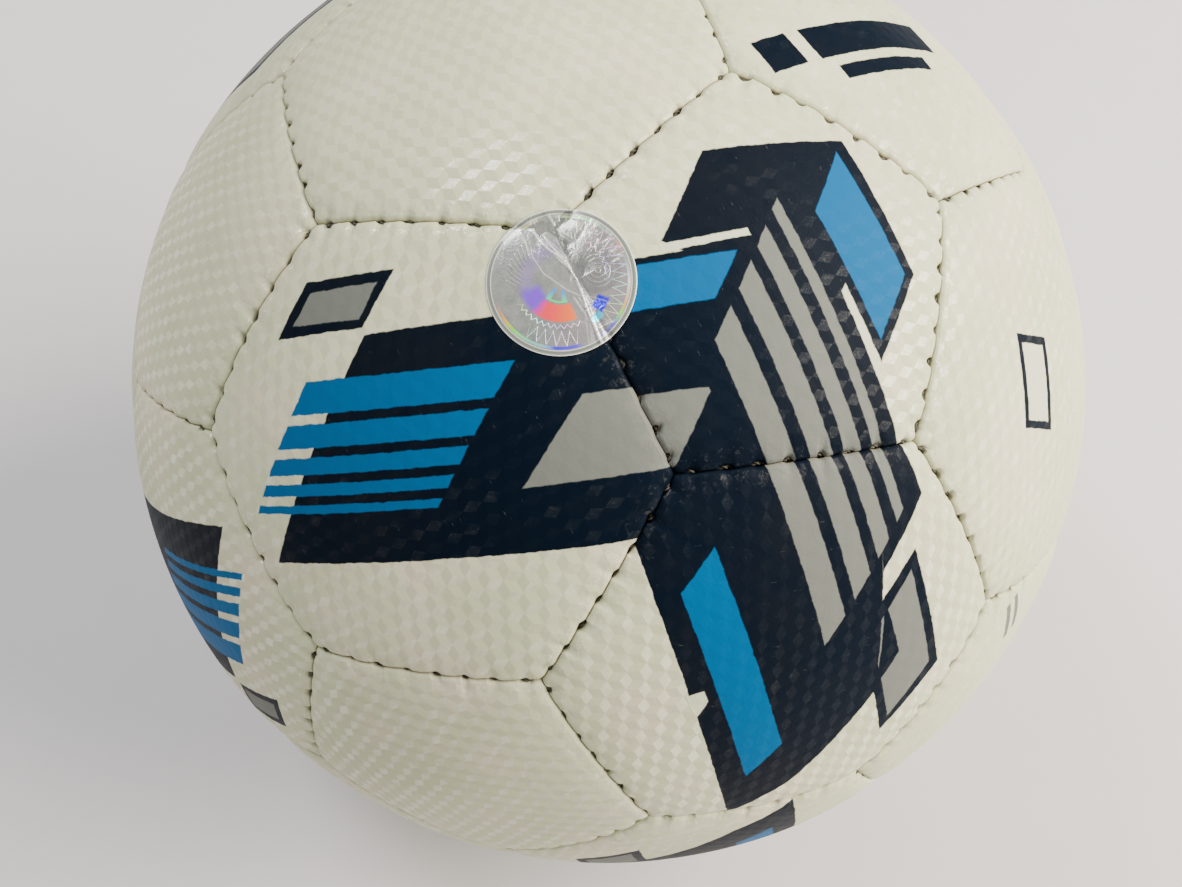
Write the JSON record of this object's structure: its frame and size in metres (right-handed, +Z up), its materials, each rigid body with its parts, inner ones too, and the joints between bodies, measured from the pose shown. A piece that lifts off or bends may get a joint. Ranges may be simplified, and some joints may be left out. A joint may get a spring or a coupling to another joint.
{
  "type": "futsal ball",
  "caption": "Hand-stitched indoor soccer ball of pentagon and hexagon panels on foam and lining, with a low-bounce filled bladder and a needle valve.",
  "frame": {"origin": "centre of the ball", "axes": "+Z up from the point the ball rests on; +Y points away from the front, with the valve towards the back"},
  "size_m": [0.2006, 0.2006, 0.2006],
  "materials": {
    "panel_cover": "pearly polyurethane sheet with an embossed block texture, satin gloss, printed navy, blue and grey",
    "backing_foam": "closed-cell foam, matte",
    "woven_lining": "woven polyester and cotton plies, matte",
    "waxed_thread": "twisted polyester thread, waxed",
    "butyl_rubber": "smooth matte rubber",
    "valve_rubber": "smooth moulded rubber, satin",
    "filling_foam": "soft open-cell foam, matte",
    "label_film": "clear glossy film with a rainbow diffraction pattern"
  },
  "bodies": {
    "root": {"bladder": "butyl_rubber", "bladder_filling": "filling_foam", "hexagon_cover_01": "panel_cover", "hexagon_cover_02": "panel_cover", "hexagon_cover_03": "panel_cover", "hexagon_cover_04": "panel_cover", "hexagon_cover_05": "panel_cover", "hexagon_cover_06": "panel_cover", "hexagon_cover_07": "panel_cover", "hexagon_cover_08": "panel_cover", "hexagon_cover_09": "panel_cover", "hexagon_cover_10": "panel_cover", "hexagon_cover_11": "panel_cover", "hexagon_cover_12": "panel_cover", "hexagon_cover_13": "panel_cover", "hexagon_cover_14": "panel_cover", "hexagon_cover_15": "panel_cover", "hexagon_cover_16": "panel_cover", "hexagon_cover_17": "panel_cover", "hexagon_cover_18": "panel_cover", "hexagon_cover_19": "panel_cover", "hexagon_cover_20": "panel_cover", "hexagon_foam": "backing_foam", "hexagon_lining": "woven_lining", "hologram_label": "label_film", "pentagon_cover_01": "panel_cover", "pentagon_cover_02": "panel_cover", "pentagon_cover_03": "panel_cover", "pentagon_cover_04": "panel_cover", "pentagon_cover_05": "panel_cover", "pentagon_cover_06": "panel_cover", "pentagon_cover_07": "panel_cover", "pentagon_cover_08": "panel_cover", "pentagon_cover_09": "panel_cover", "pentagon_cover_10": "panel_cover", "pentagon_cover_11": "panel_cover", "pentagon_cover_12": "panel_cover", "pentagon_foam": "backing_foam", "pentagon_lining": "woven_lining", "stitching_thread": "waxed_thread", "valve_body": "valve_rubber", "valve_core": "valve_rubber", "valve_patch": "butyl_rubber"}
  },
  "joints": []
}
